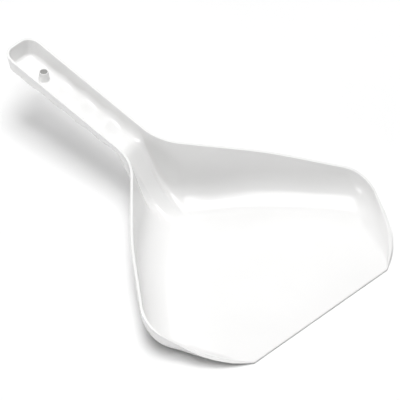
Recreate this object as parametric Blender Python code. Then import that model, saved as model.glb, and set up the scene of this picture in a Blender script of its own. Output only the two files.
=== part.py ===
"""A one-piece plastic hand scoop for mortar, plaster and dry goods.

The moulding is a kite-shaped blade with leaning walls, a short ramp behind it, an open-topped channel
handle whose underside waves for four fingers, and a small hollow boss to hang it by.
+X runs from the handle to the blade's front edge, Y = 0 is the plane of symmetry, and Z = 0 is the flat
underside of the blade. The origin is the bottom centre of the whole scoop.
"""

import math

import bmesh
import bpy
import numpy as np

# Every length below is in millimetres, and MM turns it into metres where a mesh is made.
MM = 0.001

# Whole scoop
LENGTH = 302.6
WALL = 2.0
FRONT_EDGE = 1.2
FRONT_TAPER = 14.0
HANDLE_END = -LENGTH / 2
FRONT = LENGTH / 2

# Outer rim seen from above, half of it
HANDLE_HALF_WIDTH = 14.4
HANDLE_CORNER = 10.2
NECK = -21.1
NECK_RADIUS = 34.0
WALL_BEND = (32.4, 67.4)
WALL_BEND_RADIUS = 300.0
BLADE_CORNER = (88.2, 110.2)
BLADE_CORNER_RADIUS = 27.0
SIDE_BEND = (136.4, 89.8)
SIDE_BEND_RADIUS = 60.0
FRONT_HALF_WIDTH = 65.5

# Rim seen from the side: handle end, neck, blade corner and front
RIM_HANDLE_END = 65.6
RIM_NECK = 46.5
RIM_CORNER_X = 79.7
RIM_CORNER = 26.6
RIM_BEND_RADIUS = 60.0

# Underside of the floor seen from the side
CREST_X = -35.3
CREST_Z = 37.8
CREST_RADIUS = 8.6
RAMP_FOOT = -4.3
RAMP_RADIUS = 45.4
FLOOR_HANDLE_END = 51.0
GRIP_PITCH = 24.0
GRIP_FIRST = 27.0
GRIP_DEPTH = 0.7
FINGERS = 4

# Where the walls' fillets run out into the floor, seen from above
CHANNEL_INSET = 6.6
CHANNEL_FLOOR_HALF_WIDTH = HANDLE_HALF_WIDTH - CHANNEL_INSET
FOOT_END_CORNER = HANDLE_CORNER - CHANNEL_INSET
FLOOR_NARROWING_RADIUS = 60.0
CREST_FLOOR_HALF_WIDTH = 5.7
FOOT_NECK = (18.5, 4.3)
FOOT_NECK_RADIUS = 16.5
FOOT_WALL_BEND = (51.8, 49.3)
FOOT_CORNER = (97.1, 84.6)
FOOT_CORNER_RADIUS = 10.1
FOOT_SIDE_BEND = (131.3, 75.4)
FOOT_FRONT_HALF_WIDTH = 57.7

# How far the walls lean outwards, in degrees: in the channel, then at each of the blade's places in turn
CHANNEL_LEAN = 10.1
NECK_LEAN = 17.0
WALL_LEAN = 8.1
CORNER_LEAN = 4.7
SIDE_LEAN = 45.2
FRONT_LEAN = 33.3

RIM_NECK_END = (-11.2, 24.3)

# The most that a wall leans and its fillet rises, and the least wall left at a low rim, as shares
MOST_LEAN_REACH = 0.75
FILLET_SHARE = 0.9
LIP_SHARE = 0.6

# The fillets' tight part, as a share of the radius of an even fillet and of the whole turn
CHANNEL_TIGHT_SHARE = 1.0
TIGHT_SHARE = 0.84
TIGHT_TURN = 0.6
LEAST_INNER_RADIUS = 0.5

# Hanging boss
BOSS_FROM_END = 28.8
BOSS_TOP_RADIUS = 3.4
BOSS_FOOT_RADIUS = 3.95
BOSS_BORE_RADIUS = 2.6
BOSS_HEIGHT = 7.5
BOSS_EDGE = 0.4
BORE_CUT_DEPTH = 16.0

# The nodes stop this far short of each other
SEAM = 0.3
SEAM_X = NECK - 14.0

# How finely the curved skin is divided, and its slope measured
SLOPE_STEP = 0.5
ARC_STEPS = 24
WALL_ROWS = 2
TIGHT_ROWS = 3
BROAD_ROWS = 4
FLOOR_ROWS = 2
GRIP_STATIONS = (2, 6, 24)
BLADE_STATIONS = (14, 8, 12, 12, 5)
BOSS_SIDES = 24
MERGE_DISTANCE = 0.001
SHARP_ANGLE = math.radians(35)

# White polypropylene
COLOUR = (0.88, 0.88, 0.87)
ROUGHNESS = 0.2


def clear_scene():
    for thing in list(bpy.data.objects):
        bpy.data.objects.remove(thing, do_unlink=True)


def plastic(name, colour, roughness):
    material = bpy.data.materials.new(name)
    material.use_nodes = True
    shader = material.node_tree.nodes["Principled BSDF"]
    shader.inputs["Base Color"].default_value = (*colour, 1.0)
    shader.inputs["Roughness"].default_value = roughness
    shader.inputs["Metallic"].default_value = 0.0
    material.diffuse_color = (*colour, 1.0)
    return material


def rounded_path(corners, radii):
    """A polyline along the corners, with an arc of its own radius at each corner between the two ends."""
    corners = [np.array(corner, float) for corner in corners]
    points = [corners[0]]
    for before, corner, after, radius in zip(corners, corners[1:], corners[2:], radii):
        back = (before - corner) / np.linalg.norm(before - corner)
        onward = (after - corner) / np.linalg.norm(after - corner)
        half_angle = math.acos(np.clip(back @ onward, -1, 1)) / 2
        middle = (back + onward) / np.linalg.norm(back + onward)
        centre = corner + middle * radius / math.sin(half_angle)
        tangent = radius / math.tan(half_angle)
        start = corner + back * tangent - centre
        end = corner + onward * tangent - centre
        sweep = math.pi - 2 * half_angle
        for step in range(ARC_STEPS + 1):
            part = step / ARC_STEPS
            spoke = (math.sin((1 - part) * sweep) * start + math.sin(part * sweep) * end) / math.sin(sweep)
            points.append(centre + spoke)
    points.append(corners[-1])
    return np.array(points)


def distance_along(path, place):
    """How far along the path its nearest point to a place lies."""
    starts = path[:-1]
    steps = np.diff(path, axis=0)
    lengths = np.linalg.norm(steps, axis=1)
    part = np.clip(((place - starts) * steps).sum(axis=1) / np.maximum(lengths**2, 1e-12), 0, 1)
    gaps = np.linalg.norm(starts + steps * part[:, None] - place, axis=1)
    nearest = np.argmin(gaps)
    return lengths[:nearest].sum() + part[nearest] * lengths[nearest]


def stations_along(path, marks, counts):
    """Points on the path, spread evenly between one mark and the next."""
    places = [distance_along(path, np.array(mark, float)) for mark in marks]
    spread = [np.linspace(a, b, count, endpoint=False) for a, b, count in zip(places, places[1:], counts)]
    spread = np.concatenate(spread + [[places[-1]]])
    lengths = np.concatenate([[0], np.cumsum(np.linalg.norm(np.diff(path, axis=0), axis=1))])
    return np.column_stack([np.interp(spread, lengths, path[:, axis]) for axis in (0, 1)])


def rim_height(x):
    side_view = rounded_path(
        [(HANDLE_END, RIM_HANDLE_END), (NECK, RIM_NECK), (RIM_CORNER_X, RIM_CORNER), (FRONT, FRONT_EDGE)],
        [RIM_BEND_RADIUS, RIM_BEND_RADIUS],
    )
    return np.interp(x, side_view[:, 0], side_view[:, 1])


def finger_waves(x):
    """How much lower the grip's floor dips under each finger, fading out past the first and last."""
    along = x - HANDLE_END - GRIP_FIRST
    last = (FINGERS - 1) * GRIP_PITCH
    outside = np.maximum(np.maximum(-along, along - last), 0)
    fade = np.clip(1 - outside / GRIP_PITCH, 0, 1)
    return GRIP_DEPTH * np.cos(2 * math.pi * along / GRIP_PITCH) * fade


def floor_height(x):
    """The underside of the floor on the scoop's middle plane."""
    side_view = rounded_path(
        [(HANDLE_END, FLOOR_HANDLE_END), (CREST_X, CREST_Z), (RAMP_FOOT, 0), (FRONT, 0)],
        [CREST_RADIUS, RAMP_RADIUS],
    )
    return np.interp(x, side_view[:, 0], side_view[:, 1]) - finger_waves(x)


def floor_thickness(x):
    """Measured upwards, so it grows where the floor slopes, and it tapers to the front edge."""
    slope = (floor_height(x + SLOPE_STEP) - floor_height(x - SLOPE_STEP)) / (2 * SLOPE_STEP)
    taper = np.clip((x - (FRONT - FRONT_TAPER)) / FRONT_TAPER, 0, 1)
    return (WALL + (FRONT_EDGE - WALL) * taper) * np.hypot(1, slope)


def inner_floor(x):
    return floor_height(x) + floor_thickness(x)


def wall_section(height, reach, lean, tight_share, inside):
    """Points (distance in from the outer rim, height over the floor's underside) down a wall and its fillet.

    They follow the skin's outer face, or its inner face, which shares the fillet's centres. The fillet turns
    tightly under the wall, then broadly into the floor.
    """
    thickness = min(WALL, LIP_SHARE * height)
    run = height * math.tan(lean)
    half_turn = (math.pi / 2 - lean) / 2
    highest = (FILLET_SHARE * height - thickness * math.sin(lean)) / (1 - math.sin(lean))
    even = min((reach - run) / math.tan(half_turn), highest)
    end = run + even * math.tan(half_turn)
    tight = min(max(tight_share * even, thickness + LEAST_INNER_RADIUS), even)
    change = lean + TIGHT_TURN * (math.pi / 2 - lean)
    across = end - tight * (math.cos(lean) - math.cos(change))
    down = height - tight * (math.sin(change) - math.sin(lean))
    twist = math.sin(lean) * (1 - math.sin(change)) - math.cos(lean) * math.cos(change)
    straight = (across * (1 - math.sin(change)) - down * math.cos(change)) / twist
    broad = (down * math.sin(lean) - across * math.cos(lean)) / twist
    inward = np.array([math.cos(lean), math.sin(lean)])
    down_wall = np.array([math.sin(lean), -math.cos(lean)])
    tight_centre = np.array([0, height]) + straight * down_wall + tight * inward
    offset = thickness if inside else 0
    top = np.array([offset / math.cos(lean), height])
    foot = tight_centre - (tight - offset) * inward
    points = [top + (foot - top) * row / WALL_ROWS for row in range(WALL_ROWS)]
    for turn in np.linspace(lean, change, TIGHT_ROWS, endpoint=False):
        points.append(tight_centre - (tight - offset) * np.array([math.cos(turn), math.sin(turn)]))
    for turn in np.linspace(change, math.pi / 2, BROAD_ROWS + 1):
        points.append(np.array([end, broad]) - (broad - offset) * np.array([math.cos(turn), math.sin(turn)]))
    points.append([reach, offset])
    return np.array(points)


def half_outlines():
    """Half of the outer rim, and of the line where the walls' fillets run out into the floor."""
    rim = rounded_path(
        [
            (HANDLE_END, 0),
            (HANDLE_END, HANDLE_HALF_WIDTH),
            (NECK, HANDLE_HALF_WIDTH),
            WALL_BEND,
            BLADE_CORNER,
            SIDE_BEND,
            (FRONT, FRONT_HALF_WIDTH),
        ],
        [HANDLE_CORNER, NECK_RADIUS, WALL_BEND_RADIUS, BLADE_CORNER_RADIUS, SIDE_BEND_RADIUS],
    )
    foot = rounded_path(
        [
            (HANDLE_END + CHANNEL_INSET, 0),
            (HANDLE_END + CHANNEL_INSET, CHANNEL_FLOOR_HALF_WIDTH),
            (SEAM_X, CREST_FLOOR_HALF_WIDTH),
            FOOT_NECK,
            FOOT_WALL_BEND,
            FOOT_CORNER,
            FOOT_SIDE_BEND,
            (FRONT, FOOT_FRONT_HALF_WIDTH),
        ],
        [
            FOOT_END_CORNER,
            FLOOR_NARROWING_RADIUS,
            FOOT_NECK_RADIUS,
            WALL_BEND_RADIUS,
            FOOT_CORNER_RADIUS,
            SIDE_BEND_RADIUS,
        ],
    )
    return rim, foot


def eased(marks, counts):
    """A value for each station that eases from one mark to the next."""
    values = []
    for before, after, count in zip(marks, marks[1:], counts):
        part = np.arange(count) / count
        values.append(before + (after - before) * part * part * (3 - 2 * part))
    return np.concatenate(values + [[marks[-1]]])


def grip_stations():
    """Matching rims, feet, leans and tight shares, round the handle's end and along its side to the seam."""
    rim, foot = half_outlines()
    corner_end = HANDLE_END + HANDLE_CORNER
    seam = SEAM_X - SEAM / 2
    rim_marks = [(HANDLE_END, 0), (HANDLE_END, HANDLE_HALF_WIDTH - HANDLE_CORNER)]
    rim_marks += [(corner_end, HANDLE_HALF_WIDTH), (seam, HANDLE_HALF_WIDTH)]
    inset_end = HANDLE_END + CHANNEL_INSET
    foot_marks = [(inset_end, 0), (inset_end, CHANNEL_FLOOR_HALF_WIDTH - FOOT_END_CORNER)]
    foot_marks += [(inset_end + FOOT_END_CORNER, CHANNEL_FLOOR_HALF_WIDTH), (seam, CREST_FLOOR_HALF_WIDTH)]
    rims = stations_along(rim, rim_marks, GRIP_STATIONS)
    feet = stations_along(foot, foot_marks, GRIP_STATIONS)
    leans = np.radians(eased([CHANNEL_LEAN] * len(rim_marks), GRIP_STATIONS))
    return rims, feet, leans, eased([CHANNEL_TIGHT_SHARE] * len(rim_marks), GRIP_STATIONS)


def blade_stations():
    """Matching rims, feet, leans and tight shares, from the seam through the neck and round to the front."""
    rim, foot = half_outlines()
    seam = SEAM_X + SEAM / 2
    rim_marks = [(seam, HANDLE_HALF_WIDTH), RIM_NECK_END, WALL_BEND, BLADE_CORNER, SIDE_BEND]
    rim_marks += [(FRONT, FRONT_HALF_WIDTH)]
    foot_marks = [(seam, CREST_FLOOR_HALF_WIDTH), FOOT_NECK, FOOT_WALL_BEND, FOOT_CORNER, FOOT_SIDE_BEND]
    foot_marks += [(FRONT, FOOT_FRONT_HALF_WIDTH)]
    rims = stations_along(rim, rim_marks, BLADE_STATIONS)
    feet = stations_along(foot, foot_marks, BLADE_STATIONS)
    lean_marks = [CHANNEL_LEAN, NECK_LEAN, WALL_LEAN, CORNER_LEAN, SIDE_LEAN, FRONT_LEAN]
    share_marks = [CHANNEL_TIGHT_SHARE] + [TIGHT_SHARE] * (len(lean_marks) - 1)
    leans = np.radians(eased(lean_marks, BLADE_STATIONS))
    return rims, feet, leans, eased(share_marks, BLADE_STATIONS)


def rib(rim, foot, lean, tight_share, inside):
    """Points across the skin at one station: rim, wall, fillet, then the floor to the middle plane."""
    floor = floor_height(foot[0])
    rise = floor_thickness(foot[0])
    height = max(rim_height(rim[0]) - floor, rise)
    reach = math.hypot(*(foot - rim))
    lean = min(lean, math.atan(MOST_LEAN_REACH * reach / height))
    points = []
    for inset, up in wall_section(height, reach, lean, tight_share, inside):
        x, y = rim + (foot - rim) * inset / reach
        points.append((x, y, floor + up))
    if inside:
        missing = floor + rise - points[-1][2]
        span = floor + height - points[-1][2]
        points = [(x, y, z + missing * (floor + height - z) / span) for x, y, z in points]
    middle_x = max(foot[0], HANDLE_END + HANDLE_HALF_WIDTH)
    for part in np.linspace(0, 1, FLOOR_ROWS + 1)[1:]:
        x = foot[0] + (middle_x - foot[0]) * part
        z = inner_floor(x) if inside else floor_height(x)
        points.append((x, foot[1] * (1 - part), z))
    return points


def placed(name, shape, material=None):
    """The bmesh made into an object of the scene, shaded smooth but for its sharp edges."""
    mesh = bpy.data.meshes.new(name)
    shape.to_mesh(mesh)
    shape.free()
    mesh.shade_smooth()
    mesh.set_sharp_from_angle(angle=SHARP_ANGLE)
    if material:
        mesh.materials.append(material)
    thing = bpy.data.objects.new(name, mesh)
    bpy.context.scene.collection.objects.link(thing)
    return thing


def half_shell(name, stations, open_end, open_start, material):
    """A closed skin over the stations for y >= 0, mirrored into a whole one.

    The outer and inner faces meet in the flat top of the rim, and in a cut face at each open end.
    """
    outer = [rib(*station, False) for station in zip(*stations)]
    inner = [rib(*station, True) for station in zip(*stations)]
    shell = bmesh.new()
    outer = [[shell.verts.new(np.array(point) * MM) for point in row] for row in outer]
    inner = [[shell.verts.new(np.array(point) * MM) for point in row] for row in inner]
    for a, b in zip(range(len(outer)), range(1, len(outer))):
        for j in range(len(outer[a]) - 1):
            shell.faces.new((outer[a][j], outer[a][j + 1], outer[b][j + 1], outer[b][j]))
            shell.faces.new((inner[b][j], inner[b][j + 1], inner[a][j + 1], inner[a][j]))
        shell.faces.new((outer[b][0], inner[b][0], inner[a][0], outer[a][0]))
    for cut, is_open in ((0, open_start), (-1, open_end)):
        if is_open:
            for j in range(len(outer[cut]) - 1):
                shell.faces.new((outer[cut][j], outer[cut][j + 1], inner[cut][j + 1], inner[cut][j]))
    bmesh.ops.remove_doubles(shell, verts=shell.verts, dist=MERGE_DISTANCE * MM)
    bmesh.ops.recalc_face_normals(shell, faces=shell.faces)
    thing = placed(name, shell, material)
    mirror = thing.modifiers.new("Mirror", "MIRROR")
    mirror.use_axis = (False, True, False)
    mirror.use_mirror_merge = True
    mirror.merge_threshold = MERGE_DISTANCE * MM
    return thing


def hanging_boss(material):
    """A tapered tube standing on the channel's sloping floor, with a rounded top edge."""
    centre = HANDLE_END + BOSS_FROM_END
    top = inner_floor(centre) + BOSS_HEIGHT
    tube = bmesh.new()
    rings = []
    for side in range(BOSS_SIDES):
        angle = 2 * math.pi * side / BOSS_SIDES
        section = [
            (BOSS_BORE_RADIUS, None),
            (BOSS_FOOT_RADIUS, None),
            (BOSS_TOP_RADIUS, top - BOSS_EDGE),
            (BOSS_TOP_RADIUS - BOSS_EDGE, top),
            (BOSS_BORE_RADIUS, top),
        ]
        ring = []
        for radius, z in section:
            x = centre + radius * math.cos(angle)
            y = radius * math.sin(angle)
            ring.append(tube.verts.new((x * MM, y * MM, (inner_floor(x) + SEAM if z is None else z) * MM)))
        rings.append(ring)
    for a, b in zip(rings, rings[1:] + rings[:1]):
        for j in range(len(a)):
            k = (j + 1) % len(a)
            tube.faces.new((a[j], b[j], b[k], a[k]))
    bmesh.ops.recalc_face_normals(tube, faces=tube.faces)
    return placed("hanging_boss", tube, material)


def cut_bore(grip):
    """The boss's bore goes on through the channel's floor."""
    rod = bmesh.new()
    radius = BOSS_BORE_RADIUS * MM
    bmesh.ops.create_cone(
        rod, cap_ends=True, segments=BOSS_SIDES, radius1=radius, radius2=radius, depth=BORE_CUT_DEPTH * MM
    )
    cutter = placed("bore_cutter", rod)
    x = HANDLE_END + BOSS_FROM_END
    cutter.location = (x * MM, 0, floor_height(x) * MM)
    cutter.hide_render = True
    cutter.display_type = "WIRE"
    bore = grip.modifiers.new("Bore", "BOOLEAN")
    bore.operation = "DIFFERENCE"
    bore.object = cutter


def main():
    clear_scene()
    white = plastic("white_polypropylene", COLOUR, ROUGHNESS)
    grip = half_shell("grip_channel", grip_stations(), True, False, white)
    half_shell("scoop_blade", blade_stations(), True, True, white)
    hanging_boss(white)
    cut_bore(grip)


main()
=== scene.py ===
"""The looks of a one-piece white plastic hand scoop, lying on a plain pale studio floor.

The skin is one seamless moulding: a closed shell lofted from the outer rim, down leaning walls and their
fillets, over the floor to the plane of symmetry. Lengths named here are in millimetres unless a comment says
otherwise; MM makes them metres.
"""

import math

import bmesh
import bpy
import numpy as np
from mathutils import Matrix, Vector


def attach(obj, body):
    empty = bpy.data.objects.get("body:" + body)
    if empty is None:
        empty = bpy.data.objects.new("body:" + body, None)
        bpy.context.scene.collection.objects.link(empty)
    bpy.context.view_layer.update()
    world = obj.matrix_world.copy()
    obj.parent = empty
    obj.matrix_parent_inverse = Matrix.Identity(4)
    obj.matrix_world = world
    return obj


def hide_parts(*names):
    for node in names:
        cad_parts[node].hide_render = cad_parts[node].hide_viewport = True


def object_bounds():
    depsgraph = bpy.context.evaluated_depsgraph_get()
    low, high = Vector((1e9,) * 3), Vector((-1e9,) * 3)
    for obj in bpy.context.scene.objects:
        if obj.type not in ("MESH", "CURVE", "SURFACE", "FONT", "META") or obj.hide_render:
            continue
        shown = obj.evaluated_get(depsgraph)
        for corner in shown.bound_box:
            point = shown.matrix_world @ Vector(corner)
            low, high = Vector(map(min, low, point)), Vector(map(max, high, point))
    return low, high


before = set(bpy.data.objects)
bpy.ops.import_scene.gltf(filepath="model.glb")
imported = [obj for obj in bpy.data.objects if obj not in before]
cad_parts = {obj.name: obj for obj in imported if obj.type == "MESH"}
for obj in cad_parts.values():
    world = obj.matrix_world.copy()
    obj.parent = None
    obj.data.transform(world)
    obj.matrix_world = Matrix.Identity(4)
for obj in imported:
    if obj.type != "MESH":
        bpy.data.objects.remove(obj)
cad_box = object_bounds()

MM = 0.001
SMALLEST = 1e-6
MERGE_DISTANCE = 0.001
LOW, HIGH = (np.array(corner) / MM for corner in cad_box)

# Whole scoop, from the frame
HANDLE_END = LOW[0]
FRONT = HIGH[0]
WALL = 2.0
FRONT_EDGE = 1.2
FRONT_TAPER = 14.0

# Outer rim seen from above, half of it
HANDLE_HALF_WIDTH = 14.4
HANDLE_CORNER = 10.2
NECK = -21.1
NECK_RADIUS = 34.0
NECK_ARC_START = NECK - 14.0
NECK_ARC_END = (-11.2, 24.3)
WALL_BEND = (32.4, 67.4)
WALL_BEND_RADIUS = 300.0
BLADE_CORNER = (88.2, 110.2)
BLADE_CORNER_RADIUS = 27.0
SIDE_BEND = (136.4, 89.8)
SIDE_BEND_RADIUS = 60.0
FRONT_HALF_WIDTH = 65.5

# Rim seen from the side
RIM_HANDLE_END = HIGH[2]
RIM_NECK = 46.5
RIM_CORNER_X = 79.7
RIM_CORNER = 26.6
RIM_BEND_RADIUS = 60.0
# The rim's rounded edges, and the most of the wall's thickness that one may take
EDGE_ROUNDING = 0.45
EDGE_SHARE = 0.4

# Underside of the floor seen from the side
CREST_X = -35.3
CREST_Z = 37.8
CREST_RADIUS = 8.6
RAMP_FOOT = -4.3
RAMP_RADIUS = 45.4
FLOOR_HANDLE_END = 51.0
GRIP_PITCH = 24.0
GRIP_FIRST = 27.0
GRIP_DEPTH = 0.7
FINGERS = 4
SLOPE_STEP = 0.5

# Where the walls' fillets run out into the floor, seen from above
CHANNEL_INSET = 6.6
FLOOR_NARROWING_RADIUS = 60.0
CREST_FLOOR_HALF_WIDTH = 5.7
FOOT_NECK = (18.5, 4.3)
FOOT_NECK_RADIUS = 16.5
FOOT_WALL_BEND = (51.8, 49.3)
FOOT_CORNER = (97.1, 84.6)
FOOT_CORNER_RADIUS = 10.1
FOOT_SIDE_BEND = (131.3, 75.4)
FOOT_FRONT_HALF_WIDTH = 57.7

# How far the walls lean outwards, in degrees
CHANNEL_LEAN = 10.1
NECK_LEAN = 17.0
WALL_LEAN = 8.1
CORNER_LEAN = 4.7
SIDE_LEAN = 45.2
FRONT_LEAN = 33.3
# The most of the way from its rim to its foot that a wall's lean may take
MOST_LEAN_REACH = 0.75

# The most of a wall's height that its fillet and its thickness may take
FILLET_SHARE = 0.9
LIP_SHARE = 0.6

# The tight arc under each wall: its radius as a share of an even fillet's, and its share of the turn
CHANNEL_TIGHT_SHARE = 1.0
TIGHT_SHARE = 0.84
TIGHT_TURN = 0.6
LEAST_INNER_RADIUS = 0.5

# Rim and foot places that one rib joins, and the wall's values there
CORNER_END = HANDLE_END + HANDLE_CORNER
INSET_END = HANDLE_END + CHANNEL_INSET
FOOT_END_CORNER = HANDLE_CORNER - CHANNEL_INSET
CHANNEL_FLOOR_HALF_WIDTH = HANDLE_HALF_WIDTH - CHANNEL_INSET
RIM_MARKS = [
    (HANDLE_END, 0),
    (HANDLE_END, HANDLE_HALF_WIDTH - HANDLE_CORNER),
    (CORNER_END, HANDLE_HALF_WIDTH),
    (NECK_ARC_START, HANDLE_HALF_WIDTH),
    NECK_ARC_END,
    WALL_BEND,
    BLADE_CORNER,
    SIDE_BEND,
    (FRONT, FRONT_HALF_WIDTH),
]
FOOT_MARKS = [
    (INSET_END, 0),
    (INSET_END, CHANNEL_FLOOR_HALF_WIDTH - FOOT_END_CORNER),
    (INSET_END + FOOT_END_CORNER, CHANNEL_FLOOR_HALF_WIDTH),
    (NECK_ARC_START, CREST_FLOOR_HALF_WIDTH),
    FOOT_NECK,
    FOOT_WALL_BEND,
    FOOT_CORNER,
    FOOT_SIDE_BEND,
    (FRONT, FOOT_FRONT_HALF_WIDTH),
]
LEAN_MARKS = [CHANNEL_LEAN] * 4 + [NECK_LEAN, WALL_LEAN, CORNER_LEAN, SIDE_LEAN, FRONT_LEAN]
TIGHT_MARKS = [CHANNEL_TIGHT_SHARE] * 4 + [TIGHT_SHARE] * 5

# Ribs from each mark to the next, steps round an arc of an outline, and rows of faces down a rib
STATIONS = (3, 8, 50, 22, 18, 26, 24, 14)
ARC_STEPS = 24
EDGE_ROWS = 3
WALL_ROWS = 6
TIGHT_ROWS = 5
BROAD_ROWS = 6
FLOOR_ROWS = 5

# Hanging boss: the middles of its rounded edges are (inwards or outwards, down) from the sharp corner
BOSS_CENTRE = HANDLE_END + 28.8
BOSS_TOP_RADIUS = 3.4
BOSS_FOOT_RADIUS = 3.95
BOSS_BORE_RADIUS = 2.6
BOSS_HEIGHT = 7.5
BOSS_EDGE = 0.45
BOSS_OUTER_ROUNDING = 0.25
BOSS_OUTER_ROUNDING_MIDDLE = (0.07, 0.12)
BOSS_BORE_ROUNDING = 0.3
BOSS_BORE_ROUNDING_MIDDLE = (0.15, 0.1)
BOSS_FILLET = 0.9
BOSS_FILLET_STEPS = 5
BOSS_SINK = 0.5
BOSS_SIDES = 64
BORE_FIRST_ROW = 1.0
# How many spans of the bore's wall take the darker painted shade material
PAINTED_SHADE_SPANS = 2
BORE_LINING = 0.1
BORE_CUT_DEPTH = 16.0

# White polypropylene, the bore's rougher skin darkened with painted shade, and the studio floor
PLASTIC_IOR = 1.49
PLASTIC_CLOUDS = ((0.3, (0.845, 0.843, 0.838, 1)), (0.7, (0.868, 0.866, 0.862, 1)))
PLASTIC_ROUGHNESS = (0.15, 0.25)
# A darker grey than the plastic, painted in for the shade down the bore
BORE_PAINTED_SHADE_COLOUR = (0.72, 0.72, 0.71, 1)
BORE_ROUGHNESS = 0.7
FLOOR_COLOUR = (0.93, 0.93, 0.93, 1)
FLOOR_ROUGHNESS = 0.9
FLOOR_SPECULAR = 0.1
FLOOR_GRID_SIZE = 3000.0
FLOOR_DROP = 0.2

# Camera, in metres but for its lens and sensor
CAMERA_ELEVATION = math.radians(42.52)
CAMERA_AZIMUTH = math.radians(45.84)
CAMERA_ROLL = math.radians(-1.0)
CAMERA_DISTANCE = 5.0
CAMERA_AIM = Vector((0.0222, 0.0107, 0.0195))
CAMERA_LENS = 644.7
CAMERA_SENSOR = 36.0
CAMERA_CLIP_END = 50.0

# Soft lights: name, elevation and azimuth in degrees (azimuth 0 is +X), diameter in metres, power in watts
SOFTBOX_DISTANCE = 2.5
SOFTBOXES = [
    ("overhead", 90, 0, 1.2, 33.0),
    ("high_back_left", 68, 120, 1.2, 4.2),
    ("high_back", 68, 180, 1.2, 3.1),
    ("high_front_right", 68, 300, 1.2, 22.3),
    ("middle_back_left", 46, 135, 1.2, 5.8),
    ("low_back_right", 26, 67.5, 1.2, 11.5),
    ("low_front", 12, 270, 0.8, 10.7),
]


def rounded_path(corners, radii):
    """A polyline along the corners, with an arc of its own radius at each corner between the two ends."""
    corners = [np.array(corner, float) for corner in corners]
    points = [corners[0]]
    for before, corner, after, radius in zip(corners, corners[1:], corners[2:], radii):
        back = (before - corner) / np.linalg.norm(before - corner)
        onward = (after - corner) / np.linalg.norm(after - corner)
        half_angle = math.acos(np.clip(back @ onward, -1, 1)) / 2
        middle = (back + onward) / np.linalg.norm(back + onward)
        centre = corner + middle * radius / math.sin(half_angle)
        tangent = radius / math.tan(half_angle)
        start = corner + back * tangent - centre
        end = corner + onward * tangent - centre
        sweep = math.pi - 2 * half_angle
        for step in range(ARC_STEPS + 1):
            part = step / ARC_STEPS
            spoke = (math.sin((1 - part) * sweep) * start + math.sin(part * sweep) * end) / math.sin(sweep)
            points.append(centre + spoke)
    points.append(corners[-1])
    return np.array(points)


def distance_along(path, place):
    """How far along the path its nearest point to a place lies."""
    starts = path[:-1]
    steps = np.diff(path, axis=0)
    lengths = np.linalg.norm(steps, axis=1)
    part = np.clip(((place - starts) * steps).sum(axis=1) / np.maximum(lengths**2, SMALLEST**2), 0, 1)
    gaps = np.linalg.norm(starts + steps * part[:, None] - place, axis=1)
    nearest = np.argmin(gaps)
    return lengths[:nearest].sum() + part[nearest] * lengths[nearest]


def stations_along(path, marks):
    """Points on the path, spread evenly between one mark and the next."""
    places = [distance_along(path, np.array(mark, float)) for mark in marks]
    spread = [np.linspace(a, b, count, endpoint=False) for a, b, count in zip(places, places[1:], STATIONS)]
    spread = np.concatenate(spread + [[places[-1]]])
    lengths = np.concatenate([[0], np.cumsum(np.linalg.norm(np.diff(path, axis=0), axis=1))])
    return np.column_stack([np.interp(spread, lengths, path[:, axis]) for axis in (0, 1)])


def eased(marks):
    """A value for each station that eases from one mark to the next."""
    values = []
    for before, after, count in zip(marks, marks[1:], STATIONS):
        part = np.arange(count) / count
        values.append(before + (after - before) * part * part * (3 - 2 * part))
    return np.concatenate(values + [[marks[-1]]])


RIM_SIDE_VIEW = rounded_path(
    [(HANDLE_END, RIM_HANDLE_END), (NECK, RIM_NECK), (RIM_CORNER_X, RIM_CORNER), (FRONT, FRONT_EDGE)],
    [RIM_BEND_RADIUS, RIM_BEND_RADIUS],
)
FLOOR_SIDE_VIEW = rounded_path(
    [(HANDLE_END, FLOOR_HANDLE_END), (CREST_X, CREST_Z), (RAMP_FOOT, 0), (FRONT, 0)],
    [CREST_RADIUS, RAMP_RADIUS],
)


def rim_height(x):
    """The top of the rim, seen from the side."""
    return np.interp(x, RIM_SIDE_VIEW[:, 0], RIM_SIDE_VIEW[:, 1])


def finger_waves(x):
    """How much lower the grip's floor dips under each finger, fading out past the first and last."""
    along = x - HANDLE_END - GRIP_FIRST
    last = (FINGERS - 1) * GRIP_PITCH
    outside = np.maximum(np.maximum(-along, along - last), 0)
    fade = np.clip(1 - outside / GRIP_PITCH, 0, 1)
    return GRIP_DEPTH * np.cos(2 * math.pi * along / GRIP_PITCH) * fade


def floor_height(x):
    """The underside of the floor on the scoop's middle plane."""
    return np.interp(x, FLOOR_SIDE_VIEW[:, 0], FLOOR_SIDE_VIEW[:, 1]) - finger_waves(x)


def floor_thickness(x):
    """Measured upwards, so it grows where the floor slopes, and it tapers to the front edge."""
    slope = (floor_height(x + SLOPE_STEP) - floor_height(x - SLOPE_STEP)) / (2 * SLOPE_STEP)
    taper = np.clip((x - (FRONT - FRONT_TAPER)) / FRONT_TAPER, 0, 1)
    return (WALL + (FRONT_EDGE - WALL) * taper) * np.hypot(1, slope)


def inner_floor(x):
    """The top of the floor on the scoop's middle plane."""
    return floor_height(x) + floor_thickness(x)


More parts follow.
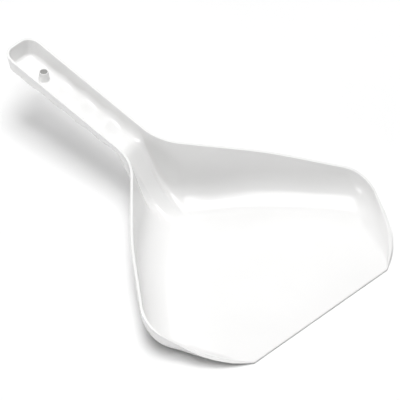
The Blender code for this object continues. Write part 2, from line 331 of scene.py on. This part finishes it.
def fillet_arcs(height, reach, lean, thickness, tight_share):
    """The outer face's fillet as (centre, radius, turns): a tight arc under the wall, then a broad one."""
    # A fillet of one even radius, which sets where the two arcs end on the floor.
    half_turn = (math.pi / 2 - lean) / 2
    highest = (FILLET_SHARE * height - thickness * math.sin(lean)) / (1 - math.sin(lean))
    even = min((reach - height * math.tan(lean)) / math.tan(half_turn), highest)
    end = height * math.tan(lean) + even * math.tan(half_turn)
    tight = min(max(tight_share * even, thickness + LEAST_INNER_RADIUS), even)
    change = lean + TIGHT_TURN * (math.pi / 2 - lean)
    # The wall's straight length and the broad radius that join the rim to that end without a kink.
    across = end - tight * (math.cos(lean) - math.cos(change))
    down = height - tight * (math.sin(change) - math.sin(lean))
    twist = math.sin(lean) * (1 - math.sin(change)) - math.cos(lean) * math.cos(change)
    straight = (across * (1 - math.sin(change)) - down * math.cos(change)) / twist
    broad = (down * math.sin(lean) - across * math.cos(lean)) / twist
    tight_centre = np.array([straight * math.sin(lean), height - straight * math.cos(lean)])
    tight_centre += tight * np.array([math.cos(lean), math.sin(lean)])
    return [
        (tight_centre, tight, np.linspace(lean, change, TIGHT_ROWS, endpoint=False)),
        (np.array([end, broad]), broad, np.linspace(change, math.pi / 2, BROAD_ROWS + 1)),
    ]


def wall_section(height, reach, lean, tight_share):
    """Outer and inner (distance in from the outer rim, height over the floor's underside) down a wall."""
    thickness = min(WALL, LIP_SHARE * height)
    edge = min(EDGE_ROUNDING, EDGE_SHARE * thickness)
    arcs = fillet_arcs(height, reach, lean, thickness, tight_share)
    tight_centre, tight, _ = arcs[0]
    faces = []
    for offset, inward in ((0, 1), (thickness, -1)):
        corner = np.array([offset / math.cos(lean), height])
        foot = tight_centre - (tight - offset) * np.array([math.cos(lean), math.sin(lean)])
        down_wall = (foot - corner) / max(np.linalg.norm(foot - corner), SMALLEST)
        # The rounded edge runs from the rim's flat top to a point just down the wall.
        flat_end = corner + np.array([inward * edge, 0])
        wall_top = corner + down_wall * edge
        points = []
        for row in range(EDGE_ROWS):
            part = row / EDGE_ROWS
            points.append((1 - part) ** 2 * flat_end + 2 * part * (1 - part) * corner + part**2 * wall_top)
        points.append(wall_top)
        points += [corner + (foot - corner) * row / WALL_ROWS for row in range(1, WALL_ROWS)]
        for centre, radius, turns in arcs:
            for turn in turns:
                points.append(centre - (radius - offset) * np.array([math.cos(turn), math.sin(turn)]))
        points.append(np.array([reach, offset]))
        faces.append(points)
    return faces


def rib(rim, foot, lean, tight_share):
    """Half a section of the skin: outer face from the middle plane to the rim, then inner face back."""
    floor = floor_height(foot[0])
    rise = floor_thickness(foot[0])
    height = max(rim_height(rim[0]) - floor, rise)
    reach = math.hypot(*(foot - rim))
    lean = min(lean, math.atan(MOST_LEAN_REACH * reach / height))
    # Ribs round the handle's closed end meet at one place on the middle plane.
    middle_x = max(foot[0], HANDLE_END + HANDLE_HALF_WIDTH)
    sides = []
    for inside, section in enumerate(wall_section(height, reach, lean, tight_share)):
        row = []
        for inset, up in section:
            x, y = rim + (foot - rim) * inset / reach
            row.append((x, y, floor + up))
        if inside:
            # The inner face is stretched a little, to come down on the top of the floor.
            missing = floor + rise - row[-1][2]
            span = floor + height - row[-1][2]
            row = [(x, y, z + missing * (floor + height - z) / span) for x, y, z in row]
        for part in np.linspace(0, 1, FLOOR_ROWS + 1)[1:]:
            x = foot[0] + (middle_x - foot[0]) * part
            row.append((x, foot[1] * (1 - part), inner_floor(x) if inside else floor_height(x)))
        sides.append(row)
    return sides[0][::-1] + sides[1]


def half_skin():
    """Every rib of one half, in order from the handle's closed end to the front edge."""
    rim_path = rounded_path(
        [RIM_MARKS[0], (HANDLE_END, HANDLE_HALF_WIDTH), (NECK, HANDLE_HALF_WIDTH)] + RIM_MARKS[5:],
        [HANDLE_CORNER, NECK_RADIUS, WALL_BEND_RADIUS, BLADE_CORNER_RADIUS, SIDE_BEND_RADIUS],
    )
    foot_path = rounded_path(
        [FOOT_MARKS[0], (INSET_END, CHANNEL_FLOOR_HALF_WIDTH)] + FOOT_MARKS[3:],
        [FOOT_END_CORNER, FLOOR_NARROWING_RADIUS, FOOT_NECK_RADIUS]
        + [WALL_BEND_RADIUS, FOOT_CORNER_RADIUS, SIDE_BEND_RADIUS],
    )
    rims = stations_along(rim_path, RIM_MARKS)
    feet = stations_along(foot_path, FOOT_MARKS)
    leans = np.radians(eased(LEAN_MARKS))
    return np.array([rib(*station) for station in zip(rims, feet, leans, eased(TIGHT_MARKS))])


def new_object(name, shape, *materials):
    """A smooth-shaded object in the scene, made from a bmesh."""
    mesh = bpy.data.meshes.new(name)
    shape.to_mesh(mesh)
    shape.free()
    mesh.shade_smooth()
    for material in materials:
        mesh.materials.append(material)
    piece = bpy.data.objects.new(name, mesh)
    bpy.context.scene.collection.objects.link(piece)
    return piece


def moulding(material):
    """The whole scoop but for its boss: ribs joined in order, mirrored, and closed along the front edge."""
    ribs = half_skin()
    skin = bmesh.new()
    halves = []
    for side in (1, -1):
        rows = ribs * np.array([1, side, 1]) * MM
        halves.append([[skin.verts.new(point) for point in row] for row in rows])
    for rows, turned in zip(halves, (False, True)):
        quads = [(a[j], a[j + 1], b[j + 1], b[j]) for a, b in zip(rows, rows[1:]) for j in range(len(a) - 1)]
        last = rows[-1]
        quads += [(last[j], last[j + 1], last[-2 - j], last[-1 - j]) for j in range(len(last) // 2 - 1)]
        for quad in quads:
            skin.faces.new(quad[::-1] if turned else quad)
    bmesh.ops.remove_doubles(skin, verts=skin.verts, dist=MERGE_DISTANCE * MM)
    bmesh.ops.recalc_face_normals(skin, faces=skin.faces)
    return new_object("scoop_moulding", skin, material)


def cut_bore(body):
    """Smooth the moulding, then take the boss's bore on through its floor."""
    rod = bmesh.new()
    radius = (BOSS_BORE_RADIUS + BORE_LINING) * MM
    bmesh.ops.create_cone(
        rod, cap_ends=True, segments=BOSS_SIDES, radius1=radius, radius2=radius, depth=BORE_CUT_DEPTH * MM
    )
    cutter = new_object("bore_cutter", rod)
    cutter.location = (BOSS_CENTRE * MM, 0, floor_height(BOSS_CENTRE) * MM)
    smooth = body.modifiers.new("Smooth", "SUBSURF")
    smooth.levels = 1
    smooth.render_levels = 1
    bore = body.modifiers.new("Bore", "BOOLEAN")
    bore.operation = "DIFFERENCE"
    bore.object = cutter
    made = bpy.data.meshes.new_from_object(body.evaluated_get(bpy.context.evaluated_depsgraph_get()))
    body.modifiers.clear()
    body.data = made
    bpy.data.objects.remove(cutter)


def boss_section():
    """The tube's cut face as (radius, where its height counts from, height), up the bore and down outside."""
    inner, outer = BOSS_BORE_RADIUS, BOSS_TOP_RADIUS
    inner_in, inner_down = BOSS_BORE_ROUNDING_MIDDLE
    outer_in, outer_down = BOSS_OUTER_ROUNDING_MIDDLE
    section = [
        (inner, "floor", -floor_thickness(BOSS_CENTRE)),
        (inner, "floor", BORE_FIRST_ROW),
        (inner, "top", -BOSS_EDGE),
        (inner + inner_in, "top", -inner_down),
        (inner + BOSS_BORE_ROUNDING, "top", 0),
        (outer - BOSS_OUTER_ROUNDING, "top", 0),
        (outer - outer_in, "top", -outer_down),
        (outer, "top", -BOSS_EDGE),
    ]
    for step in range(BOSS_FILLET_STEPS + 1):
        turn = math.pi / 2 * step / BOSS_FILLET_STEPS
        out = BOSS_FOOT_RADIUS + BOSS_FILLET * (1 - math.cos(turn))
        section.append((out, "floor", BOSS_FILLET * (1 - math.sin(turn))))
    section.append((BOSS_FOOT_RADIUS + BOSS_FILLET, "floor", -BOSS_SINK))
    section.append((inner + BOSS_SINK, "floor", -BOSS_SINK))
    return section


def boss(plastic, bore_shade):
    """The hanging boss: a tapered tube with rounded top edges and a fillet where it meets the floor."""
    top = inner_floor(BOSS_CENTRE) + BOSS_HEIGHT
    section = boss_section()
    tube = bmesh.new()
    rings = []
    for side in range(BOSS_SIDES):
        angle = 2 * math.pi * side / BOSS_SIDES
        ring = []
        for radius, level, height in section:
            x = BOSS_CENTRE + radius * math.cos(angle)
            y = radius * math.sin(angle)
            base = top if level == "top" else inner_floor(x)
            ring.append(tube.verts.new((x * MM, y * MM, (base + height) * MM)))
        rings.append(ring)
    for a, b in zip(rings, rings[1:] + rings[:1]):
        for j in range(len(a)):
            k = (j + 1) % len(a)
            face = tube.faces.new((a[j], b[j], b[k], a[k]))
            # The bore's wall gets the darker painted shade material, the rest the plain plastic
            face.material_index = 1 if j < PAINTED_SHADE_SPANS else 0
    bmesh.ops.recalc_face_normals(tube, faces=tube.faces)
    return new_object("boss_tube", tube, plastic, bore_shade)


def new_material(name):
    """A material and its shader."""
    material = bpy.data.materials.new(name)
    material.use_nodes = True
    return material, material.node_tree.nodes["Principled BSDF"]


def node(tree, kind, inputs=None):
    """A shader node with its unlinked input values."""
    made = tree.nodes.new(kind)
    for name, value in (inputs or {}).items():
        made.inputs[name].default_value = value
    return made


def moulded_plastic():
    """Glossy white polypropylene: near-white with faint cloudiness, soft orange peel and a little satin."""
    material, shader = new_material("moulded_white_plastic")
    shader.inputs["IOR"].default_value = PLASTIC_IOR
    tree = material.node_tree
    link = tree.links.new
    place = node(tree, "ShaderNodeTexCoord")
    cloud = node(tree, "ShaderNodeTexNoise", {"Scale": 14.0, "Detail": 3.0, "Roughness": 0.5})
    link(place.outputs["Object"], cloud.inputs["Vector"])
    tint = node(tree, "ShaderNodeValToRGB")
    for stop, (position, colour) in zip(tint.color_ramp.elements, PLASTIC_CLOUDS):
        stop.position = position
        stop.color = colour
    link(cloud.outputs["Fac"], tint.inputs["Fac"])
    link(tint.outputs["Color"], shader.inputs["Base Color"])
    satin = node(tree, "ShaderNodeTexNoise", {"Scale": 60.0, "Detail": 4.0})
    link(place.outputs["Object"], satin.inputs["Vector"])
    glossiest, dullest = PLASTIC_ROUGHNESS
    gloss = node(tree, "ShaderNodeMapRange", {"To Min": glossiest, "To Max": dullest})
    link(satin.outputs["Fac"], gloss.inputs["Value"])
    link(gloss.outputs["Result"], shader.inputs["Roughness"])
    peel = node(tree, "ShaderNodeTexNoise", {"Scale": 420.0, "Detail": 2.0})
    link(place.outputs["Object"], peel.inputs["Vector"])
    bump = node(tree, "ShaderNodeBump", {"Strength": 0.04, "Distance": 0.0002})
    link(peel.outputs["Fac"], bump.inputs["Height"])
    link(bump.outputs["Normal"], shader.inputs["Normal"])
    return material


def bore_painted_shade():
    """The inside of the boss's bore: rougher, and a darker grey that paints in the shade down the bore."""
    material, shader = new_material("bore_painted_shade")
    shader.inputs["Base Color"].default_value = BORE_PAINTED_SHADE_COLOUR
    shader.inputs["Roughness"].default_value = BORE_ROUGHNESS
    return material


def studio_floor():
    """The pale floor that the scoop lies on."""
    material, shader = new_material("pale_floor")
    shader.inputs["Base Color"].default_value = FLOOR_COLOUR
    shader.inputs["Roughness"].default_value = FLOOR_ROUGHNESS
    shader.inputs["Specular IOR Level"].default_value = FLOOR_SPECULAR
    sheet = bmesh.new()
    bmesh.ops.create_grid(sheet, x_segments=1, y_segments=1, size=FLOOR_GRID_SIZE * MM)
    floor = new_object("studio_floor", sheet, material)
    floor.location.z = -FLOOR_DROP * MM


def softboxes():
    """The round soft lights, all turned to the scoop."""
    for name, elevation, azimuth, size, power in SOFTBOXES:
        data = bpy.data.lights.new(name, "AREA")
        data.shape = "DISK"
        data.size = size
        data.energy = power
        lamp = bpy.data.objects.new(name, data)
        rise, turn = math.radians(elevation), math.radians(azimuth)
        towards = Vector((math.cos(rise) * math.cos(turn), math.cos(rise) * math.sin(turn), math.sin(rise)))
        lamp.location = towards * SOFTBOX_DISTANCE
        lamp.rotation_euler = (-towards).to_track_quat("-Z", "Y").to_euler()
        bpy.context.scene.collection.objects.link(lamp)


def dark_world():
    """Only the softboxes light the scoop."""
    world = bpy.data.worlds.new("studio_world")
    world.use_nodes = True
    background = world.node_tree.nodes["Background"]
    background.inputs["Color"].default_value = (1, 1, 1, 1)
    background.inputs["Strength"].default_value = 0.0
    bpy.context.scene.world = world
    bpy.context.scene.view_settings.view_transform = "Standard"


def camera():
    """A far camera with a long lens, looking down at the scoop from in front and to its right."""
    elevation, azimuth, roll = CAMERA_ELEVATION, CAMERA_AZIMUTH, CAMERA_ROLL
    level = Vector((math.cos(azimuth), math.sin(azimuth), 0))
    towards = Vector((math.sin(azimuth), -math.cos(azimuth), 0))
    back = towards * math.cos(elevation) + Vector((0, 0, math.sin(elevation)))
    upright = back.cross(level)
    right = math.cos(roll) * level + math.sin(roll) * upright
    up = math.cos(roll) * upright - math.sin(roll) * level
    data = bpy.data.cameras.new("camera")
    data.lens = CAMERA_LENS
    data.sensor_width = CAMERA_SENSOR
    data.clip_end = CAMERA_CLIP_END
    eye = bpy.data.objects.new("camera", data)
    turn = Matrix((right, up, back)).transposed().to_4x4()
    eye.matrix_world = Matrix.Translation(CAMERA_AIM + back * CAMERA_DISTANCE) @ turn
    bpy.context.scene.collection.objects.link(eye)
    bpy.context.scene.camera = eye


def main():
    camera()
    studio_floor()
    softboxes()
    dark_world()
    plastic = moulded_plastic()
    body = moulding(plastic)
    cut_bore(body)
    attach(body, "root")
    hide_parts("scoop_blade", "grip_channel")
    tube = boss(plastic, bore_painted_shade())
    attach(tube, "root")
    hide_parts("hanging_boss")


main()
